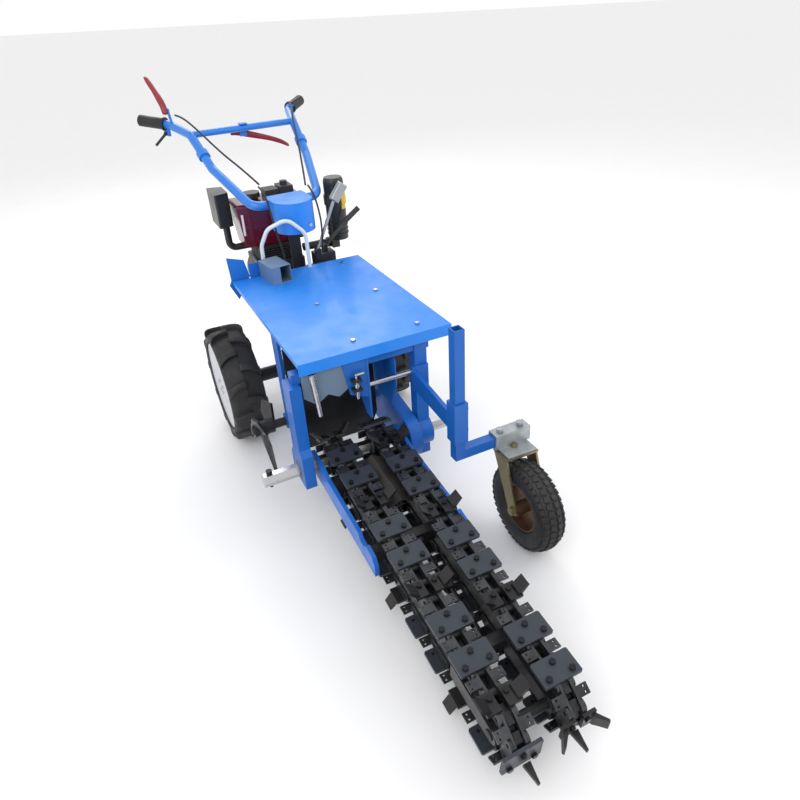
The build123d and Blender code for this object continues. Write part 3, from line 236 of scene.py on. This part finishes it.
bar_steel = finish("bar_steel", (0.075, 0.078, 0.084), 0.32, metal=0.75, tone=(0.03, 0.031, 0.034),
                   tone_share=0.5, bump=0.15, scale=30, edge=0.0011)
ridge_brown = finish("ridge_brown", (0.045, 0.04, 0.036), 0.5, metal=0.3, tone=(0.028, 0.026, 0.025),
                     scale=16)
plate_slate = finish("plate_slate", (0.032, 0.038, 0.05), 0.4, metal=0.3, tone=(0.045, 0.052, 0.066),
                     bump=0.12, scale=9, edge=0.001)
cutter_black = finish("cutter_black", (0.012, 0.012, 0.014), 0.36, metal=0.3, tone=(0.03, 0.028, 0.027),
                      bump=0.2, scale=16, edge=0.001)
bolt_black = finish("bolt_black", (0.018, 0.018, 0.02), 0.3, metal=0.6, bump=0.1, edge=0.0006)
gearbox_black = finish("gearbox_black", (0.01, 0.01, 0.012), 0.45, bump=0.3, scale=10,
                       tone=(0.022, 0.022, 0.025), edge=0.002)
bright_steel = finish("bright_steel", (0.55, 0.55, 0.56), 0.24, metal=1.0, tone=(0.4, 0.4, 0.42), bump=0.03)
lever_grey = finish("lever_grey", (0.36, 0.37, 0.39), 0.34, metal=0.7, tone=(0.28, 0.29, 0.31))
hoop_white = finish("hoop_white", (0.6, 0.68, 0.74), 0.3, tone=(0.5, 0.6, 0.68), coat=0.3)
zinc_yellow = finish("zinc_yellow", (0.3, 0.25, 0.13), 0.34, metal=0.85, tone=(0.2, 0.2, 0.13), scale=18)
rim_brown = finish("rim_brown", (0.2, 0.12, 0.07), 0.36, metal=0.7, tone=(0.12, 0.09, 0.06), scale=20)
galvanised = finish("galvanised", (0.42, 0.44, 0.46), 0.42, metal=0.75, tone=(0.3, 0.32, 0.34), scale=40,
                    tone_share=0.5)
disc_grey = finish("disc_grey", (0.5, 0.51, 0.54), 0.4, tone=(0.36, 0.37, 0.4), coat=0.15, scale=2.5)
tyre_rubber = finish("tyre_rubber", (0.012, 0.012, 0.013), 0.58, tone=(0.024, 0.023, 0.022), bump=0.3,
                     scale=9, grain=320, edge=0.003)
tank_red = finish("tank_red", (0.11, 0.003, 0.016), 0.28, tone=(0.075, 0.002, 0.012), coat=0.5, bump=0.02,
                  zones=[(*zone((-0.124, -0.116), (0.2, 0.24), (0.672, 0.752)), (0.75, 0.75, 0.76))])
lever_red = finish("lever_red", (0.26, 0.01, 0.025), 0.38, tone=(0.17, 0.008, 0.016), coat=0.2)
grip_rubber = finish("grip_rubber", (0.01, 0.01, 0.011), 0.55, tone=(0.02, 0.02, 0.021), bump=0.3)
black_plastic = finish("black_plastic", (0.012, 0.012, 0.014), 0.35, tone=(0.024, 0.024, 0.026), bump=0.12)
filter_black = finish("filter_black", (0.012, 0.012, 0.014), 0.35, tone=(0.024, 0.024, 0.026), bump=0.12,
                      zones=[(*zone((0.235, 0.28), (0.1, 0.16), (0.735, 0.79)), (0.62, 0.42, 0.02))])
engine_alloy = finish("engine_alloy", (0.035, 0.035, 0.038), 0.5, metal=0.5, tone=(0.08, 0.08, 0.08),
                      bump=0.3)
floor_pale = finish("floor_pale", (0.86, 0.86, 0.87), 0.7, tone=(0.83, 0.83, 0.84), bump=0.01, edge=0.0001)
floor.data.materials.append(floor_pale)

# %% Finish of each node of the frame
FINISHES = {
    cover_blue: ["cover_plate", "cowl"],
    handle_blue: ["handlebar"],
    frame_blue: ["main_frame", "gauge_bracket", "gauge_post", "chain_case", "chain_case_cover"],
    guard_blue: ["guard_sheets"],
    boom_blue: ["boom_frame"],
    sheet_grey_blue: ["control_box"],
    bar_steel: ["chain_side_bars"],
    ridge_brown: ["boom_cover"],
    chain_black: ["chain_rollers", "chain_pins", "nose_idlers", "drive_sprockets", "tension_screw",
                  "nose_shaft"],
    plate_slate: ["flight_plates"],
    cutter_black: ["cutters", "spoil_auger"],
    bolt_black: ["plate_bolts", "hex_pin", "shaft_bearings"],
    gearbox_black: ["gearbox", "axle_tubes", "handle_column", "lever_brackets", "auger_shaft",
                    "pto_shaft", "squeeze_lever", "throttle_lever"],
    bright_steel: ["hex_shaft", "frame_rods", "frame_bolts", "latch_pin"],
    lever_grey: ["gear_lever"],
    hoop_white: ["guard_hoop"],
    zinc_yellow: ["caster_fork"],
    rim_brown: ["gauge_rim"],
    galvanised: ["caster_clamp"],
    disc_grey: ["left_rim", "right_rim"],
    tyre_rubber: ["left_tyre", "right_tyre", "gauge_tyre"],
    tank_red: ["fuel_tank"],
    lever_red: ["left_lever", "cross_lever"],
    grip_rubber: ["grips", "handle_cables", "gearbox_cables"],
    filter_black: ["air_filter"],
    black_plastic: ["muffler", "recoil_starter", "recoil_handle", "fuel_cap", "pto_lever"],
    engine_alloy: ["engine"],
}
for material, names in FINISHES.items():
    for name in names:
        nodes[name].data.materials.clear()
        nodes[name].data.materials.append(material)
print("nodes without a finish:", sorted(set(nodes) - {n for names in FINISHES.values() for n in names}))

# %% [markdown]
# ## Modelling helpers
# Each new piece starts as a primitive at its real size and place, and is shaped with the same
# operators a person would use. These helpers keep the selection clean, because every operator acts
# on whatever is selected, and they put each finished mesh in the shared frame.


# %% Selection and placing helpers
def only(*pieces):
    if bpy.context.object and bpy.context.object.mode != "OBJECT":
        bpy.ops.object.mode_set(mode="OBJECT")
    bpy.ops.object.select_all(action="DESELECT")
    for piece in pieces:
        piece.select_set(True)
    bpy.context.view_layer.objects.active = pieces[0]


def settle(piece):
    """Put the piece's place, turn and size into its mesh."""
    only(piece)
    bpy.ops.object.transform_apply(location=True, rotation=True, scale=True)
    return piece


def copied(piece, matrix):
    twin = piece.copy()
    twin.data = piece.data.copy()
    bpy.context.collection.objects.link(twin)
    twin.data.transform(matrix)
    return twin


def joined(name, pieces):
    only(*pieces)
    bpy.ops.object.join()
    whole = bpy.context.object
    whole.name = name
    return whole


def dressed(piece, material, angle=35):
    only(piece)
    bpy.ops.object.shade_smooth_by_angle(angle=math.radians(angle))
    piece.data.materials.clear()
    piece.data.materials.append(material)
    return piece


def pick(piece, wanted):
    """Open the piece for editing with only the wanted vertices selected."""
    bpy.ops.object.mode_set(mode="EDIT")
    bpy.ops.mesh.select_mode(type="VERT")
    bpy.ops.mesh.select_all(action="DESELECT")
    bpy.ops.object.mode_set(mode="OBJECT")
    for vertex in piece.data.vertices:
        vertex.select = wanted(vertex.co)
    bpy.ops.object.mode_set(mode="EDIT")


def eased(piece, width, segments):
    """Round the piece's edges."""
    only(piece)
    rounding = piece.modifiers.new("edge", "BEVEL")
    rounding.width = width
    rounding.segments = segments
    bpy.ops.object.modifier_apply(modifier="edge")


def outward(piece):
    """Merge doubles and make every face point outwards."""
    only(piece)
    bpy.ops.object.mode_set(mode="EDIT")
    bpy.ops.mesh.select_all(action="SELECT")
    bpy.ops.mesh.remove_doubles(threshold=0.00002)
    bpy.ops.mesh.normals_make_consistent(inside=False)
    bpy.ops.object.mode_set(mode="OBJECT")
    return piece


def turn_about(centre, axis, angle):
    return (Matrix.Translation(centre) @ Matrix.Rotation(angle, 4, axis)
            @ Matrix.Translation(-Vector(centre)))


def middle(node):
    low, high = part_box(node)
    return (Vector(low) + Vector(high)) / 2, Vector(high) - Vector(low)


# %% Ring helper for turned shapes on an X axle
ON_RING = 1e-5                    # how near a vertex lies to the ring it belongs to


def turned(name, centre, rings, sides):
    """A turned shell: a tube whose open edge is extruded and resized ring by ring, then closed."""
    offset, radius = rings[0]
    last_x, last_radius = rings[1]
    bpy.ops.object.select_all(action="DESELECT")
    bpy.ops.mesh.primitive_cylinder_add(vertices=sides, radius=radius, depth=abs(last_x - offset),
                                        end_fill_type="NOTHING", rotation=(0, math.pi / 2, 0),
                                        location=centre + Vector(((offset + last_x) / 2, 0, 0)))
    shell = settle(bpy.context.object)
    shell.name = name
    ahead = centre.x + last_x
    pick(shell, lambda spot: abs(spot.x - ahead) < ON_RING)
    bpy.ops.transform.resize(value=(1, last_radius / radius, last_radius / radius), center_override=centre)
    for x, r in rings[2:]:
        bpy.ops.mesh.extrude_edges_move()
        bpy.ops.transform.resize(value=(1, r / last_radius, r / last_radius), center_override=centre)
        bpy.ops.transform.translate(value=(x - last_x, 0, 0))
        last_x, last_radius = x, r
    bpy.ops.object.mode_set(mode="OBJECT")

    def on_open_ring(spot):
        away = math.hypot(spot.y - centre.y, spot.z - centre.z)
        ends = ((offset, radius), (last_x, last_radius))
        return any(abs(spot.x - centre.x - x) < ON_RING and abs(away - r) < 10 * ON_RING for x, r in ends)

    pick(shell, on_open_ring)
    bpy.ops.mesh.bridge_edge_loops()
    bpy.ops.object.mode_set(mode="OBJECT")
    return outward(shell)


def both_sides(left):
    """The rings of the left half, followed by their mirror images."""
    return left + [(-offset, radius) for offset, radius in reversed(left)]


def fitted(node, body, pieces, angle):
    """Join a tyre's pieces, and let the whole stand in for the frame's plain tyre."""
    tyre = dressed(joined(node + "_tread", pieces), tyre_rubber, angle)
    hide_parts(node)
    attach(tyre, body)
    print(tyre.name, "faces", len(tyre.data.polygons))


# %% [markdown]
# ## Drive tyres
# The drive tyres carry bars of rubber that meet at the middle of the tread, turn and turn about,
# and a fine moulding line runs round the crown. A turned carcass gives the soft shoulders, one bar
# is extruded in two steps so that it curves, and the rest are copies of it turned round the axle.

# %% Drive tyres
BARS = 22
BAR_HEIGHT = 0.017
BAR_ROOT = 0.007                  # buried in the carcass
BAR_CLEAR = 0.0005                # a bar's top stays this far inside the tyre's size
BAR_BREADTH = 0.026
BAR_START = 0.012
RIM_RADIUS = 0.165


def tread_bar(centre, crown, side):
    """One bar from the middle of the tread to the shoulder, at the top of the tyre."""
    bpy.ops.object.select_all(action="DESELECT")
    height = crown + (BAR_HEIGHT - BAR_ROOT) / 2 - BAR_CLEAR
    bpy.ops.mesh.primitive_cube_add(size=1, location=centre + Vector((side * 0.002, 0, height)))
    bar = bpy.context.object
    bar.scale = (BAR_START, BAR_BREADTH, BAR_HEIGHT + BAR_ROOT)
    settle(bar)
    # Each step goes along the axle, back round the tyre and down, and changes the bar's breadth.
    steps = [(0.022, -0.005, -0.0005, 1.0), (0.018, -0.008, -0.002, 1.06), (0.012, -0.008, -0.005, 1.06),
             (0.004, -0.003, -0.009, 0.9)]
    for along, around, down, grow in steps:
        reach = max(side * vertex.co.x for vertex in bar.data.vertices)
        pick(bar, lambda spot: side * spot.x > reach - ON_RING)
        bpy.ops.mesh.extrude_region_move()
        bpy.ops.transform.translate(value=(side * along, around, down))
        bpy.ops.transform.resize(value=(1, grow, 1))
        bpy.ops.object.mode_set(mode="OBJECT")
    eased(outward(bar), 0.003, 2)
    return bar


def drive_tyre(node, body):
    centre, size = middle(node)
    radius, width = size.z / 2, size.x
    crown = radius - BAR_HEIGHT
    left = [(-0.35 * width, RIM_RADIUS + 0.0005), (-0.44 * width, RIM_RADIUS + 0.003),
            (-0.475 * width, RIM_RADIUS + 0.012), (-0.465 * width, crown - 0.014),
            (-0.42 * width, crown - 0.006), (-0.3 * width, crown - 0.002), (-0.012 * width, crown),
            (-0.006 * width, crown + 0.0014)]
    pieces = [turned(node + "_carcass", centre, both_sides(left), sides=110)]
    for side in (-1, 1):
        first = tread_bar(centre, crown, side)
        for step in range(BARS // 2):
            angle = math.tau / BARS * (2 * step + (side > 0))
            pieces.append(copied(first, turn_about(centre, "X", angle)))
        bpy.data.objects.remove(first)
    fitted(node, body, pieces, 40)


drive_tyre("left_tyre", "left_wheel")
drive_tyre("right_tyre", "right_wheel")

# %% [markdown]
# ## Gauge tyre
# The small pneumatic tyre has a round section with four ribs cut into short blocks. The carcass is
# turned like the drive tyres, and one block is copied round each rib.

# %% Gauge tyre
BLOCKS_ROUND = 40
BLOCK_SIZE = (0.0165, 0.0068)     # round the tyre, and in depth
BLOCK_LIFT = 0.0008
BLOCK_SKEW = 12
SECTION_RADIUS = 0.036
BEAD_RADIUS = 0.0755
CROWN_DROP = 0.005                # the carcass lies this far inside the tyre's size


def gauge_tread(node, body):
    centre, size = middle(node)
    width = size.x
    crown = size.z / 2 - CROWN_DROP

    def section(degrees):
        return crown - SECTION_RADIUS + SECTION_RADIUS * math.cos(math.radians(degrees))

    left = [(-0.3 * width, BEAD_RADIUS), (-0.38 * width, BEAD_RADIUS + 0.004),
            (-0.46 * width, BEAD_RADIUS + 0.016)]
    for degrees in range(-72, 1, 9):
        left.append((0.49 * width * math.sin(math.radians(degrees)), section(degrees)))
    pieces = [turned(node + "_carcass", centre, both_sides(left), sides=96)]
    # Each rib has its place across the width, its lean and the length of its blocks.
    for place, lean, length in ((-0.36, -44, 0.012), (-0.125, -14, 0.016), (0.125, 14, 0.016),
                                (0.36, 44, 0.012)):
        skew = BLOCK_SKEW if place > 0 else -BLOCK_SKEW
        top = Vector((place * width, 0, section(lean) + BLOCK_LIFT))
        bpy.ops.object.select_all(action="DESELECT")
        bpy.ops.mesh.primitive_cube_add(size=1, location=centre + top,
                                        rotation=(0, math.radians(lean), math.radians(skew)))
        block = bpy.context.object
        block.scale = (length, *BLOCK_SIZE)
        settle(block)
        eased(block, 0.001, 1)
        shift = 0.5 if abs(place) > 0.2 else 0
        for step in range(BLOCKS_ROUND):
            pieces.append(copied(block, turn_about(centre, "X", math.tau / BLOCKS_ROUND * (step + shift))))
        bpy.data.objects.remove(block)
    fitted(node, body, pieces, 35)


gauge_tread("gauge_tyre", "gauge_wheel")

# %% [markdown]
# ## Red hand levers
# The two red levers are flat steel dipped in soft plastic, so they are wide, rounded and gently
# curved. Each starts as a thin block that is extruded station by station along its centre line,
# and a subdivision rounds it off.

# %% Red levers
HINGE = Vector((MIDDLE_X + 0.030, COVER_BACK + 0.125, 0.797))
HANDLE_TURN = math.radians(3.3)
HANDLE = Matrix.Translation(HINGE) @ Matrix.Rotation(HANDLE_TURN, 4, "Z")


def drawn_out(name, stations, axis, size):
    """A bar extruded along its stations; axis is the one that its open end faces."""
    bpy.ops.object.select_all(action="DESELECT")
    bpy.ops.mesh.primitive_cube_add(size=1, location=stations[0][0])
    bar = bpy.context.object
    bar.name = name
    bar.scale = size
    settle(bar)
    for (before, thick_before), (after, thick_after) in zip(stations, stations[1:]):
        reach = max(vertex.co[axis] for vertex in bar.data.vertices)
        pick(bar, lambda spot: spot[axis] > reach - ON_RING)
        bpy.ops.mesh.extrude_region_move()
        bpy.ops.transform.translate(value=Vector(after) - Vector(before))
        grow = [thick_after / thick_before] * 3
        grow[axis] = 1
        bpy.ops.transform.resize(value=grow)
        bpy.ops.object.mode_set(mode="OBJECT")
    only(outward(bar))
    rounding = bar.modifiers.new("round", "SUBSURF")
    rounding.levels = rounding.render_levels = 2
    bpy.ops.object.modifier_apply(modifier="round")
    return bar


def dipped_lever(node, stations, axis, size):
    """The stations are from the handlebar's hinge, each with the lever's thickness there."""
    lever = drawn_out(node + "_dipped", stations, axis, size)
    lever.data.transform(HANDLE)
    dressed(lever, lever_red, 60)
    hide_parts(node)
    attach(lever, node)
    print(lever.name, "faces", len(lever.data.polygons))


dipped_lever("left_lever", [((-0.255, 0.490, 0.272), 1.0), ((-0.256, 0.500, 0.292), 1.05),
                            ((-0.261, 0.520, 0.318), 1.1), ((-0.266, 0.541, 0.338), 0.85),
                            ((-0.273, 0.566, 0.362), 0.9), ((-0.278, 0.584, 0.380), 0.75),
                            ((-0.280, 0.592, 0.389), 0.5)], 2, (0.026, 0.024, 0.012))
dipped_lever("cross_lever", [((-0.046, 0.3965, 0.188), 1.0), ((-0.022, 0.3965, 0.187), 1.25),
                             ((0.020, 0.3965, 0.174), 1.3), ((0.066, 0.3965, 0.160), 1.1),
                             ((0.110, 0.3965, 0.146), 0.95), ((0.156, 0.3965, 0.126), 0.95),
                             ((0.182, 0.3965, 0.108), 0.7)], 0, (0.008, 0.009, 0.022))

# %% [markdown]
# ## Cable ties
# Two black bands hold the control cables to the handle tubes. A band is a short ring round the
# handle, a little thicker at its middle. It is turned as the tyres are, on an axle along X, and
# then leant over onto the tube's own line.

# %% Cable ties
TIE_BORE = 0.0163
TIE_PLACE = 0.42                  # share of the straight run, from its low end


def cable_tie(name, place, along):
    left = [(-0.012, TIE_BORE), (-0.011, TIE_BORE + 0.0035), (-0.004, TIE_BORE + 0.0045)]
    band = turned(name, place, both_sides(left), sides=40)
    lean = Vector((1, 0, 0)).rotation_difference(along.normalized()).to_matrix().to_4x4()
    band.data.transform(Matrix.Translation(place) @ lean @ Matrix.Translation(-place))
    band.data.transform(HANDLE)
    dressed(band, grip_rubber, 40)
    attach(band, "handlebar")
    print(name, "faces", len(band.data.polygons))


for side, name in ((-1, "left_tie"), (1, "right_tie")):
    low_end = Vector((side * 0.186, 0.225, 0.103))
    high_end = Vector((side * 0.205, 0.375, 0.203))
    cable_tie(name, low_end.lerp(high_end, TIE_PLACE), high_end - low_end)

# %% [markdown]
# ## Control cables
# Four sheathed cables link the hand levers with the gearbox: two lie along the handlebar, and two
# drop in front of the cowl to the gearbox. A cable is one smooth NURBS line with a round bevel, so
# it bends as a sheathed wire does.

# %% Control cables
CABLE = 0.007


def control_cable(name, route, place, node, body):
    curve = bpy.data.curves.new(name, "CURVE")
    curve.dimensions = "3D"
    spline = curve.splines.new("NURBS")
    spline.points.add(len(route) - 1)
    for point, spot in zip(spline.points, route):
        point.co = (*(place @ Vector(spot)), 1)
    spline.order_u = 3
    spline.use_endpoint_u = True
    spline.resolution_u = 12
    cable = bpy.data.objects.new(name, curve)
    bpy.context.collection.objects.link(cable)
    line = bpy.data.meshes.new_from_object(cable.evaluated_get(bpy.context.evaluated_depsgraph_get()))
    bpy.data.meshes.remove(line)
    curve.bevel_depth = CABLE / 2
    curve.bevel_resolution = 4
    curve.use_fill_caps = True
    curve.materials.append(grip_rubber)
    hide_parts(node)
    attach(cable, body)


MACHINE = Matrix.Translation((MIDDLE_X, COVER_BACK, 0))
control_cable("left_handle_cable", [(-0.222, 0.486, 0.262), (-0.212, 0.430, 0.262), (-0.190, 0.330, 0.230),
                                    (-0.150, 0.200, 0.160), (-0.110, 0.090, 0.110), (-0.084, 0.020, 0.070)],
              HANDLE, "handle_cables", "handlebar")
control_cable("right_handle_cable", [(0.240, 0.484, 0.252), (0.226, 0.420, 0.262), (0.184, 0.320, 0.222),
                                     (0.150, 0.200, 0.150), (0.110, 0.080, 0.070), (0.088, 0.020, 0.040)],
              HANDLE, "handle_cables", "handlebar")
control_cable("left_gearbox_cable", [(-0.060, 0.134, 0.860), (-0.060, 0.076, 0.858), (-0.058, 0.040, 0.812),
                                     (-0.054, 0.020, 0.740), (-0.030, 0.022, 0.610), (-0.026, 0.044, 0.502)],
              MACHINE, "gearbox_cables", "chassis")
control_cable("right_gearbox_cable", [(0.126, 0.150, 0.834), (0.128, 0.100, 0.818), (0.122, 0.040, 0.756),
                                      (0.118, 0.024, 0.700), (0.112, 0.030, 0.616)],
              MACHINE, "gearbox_cables", "chassis")
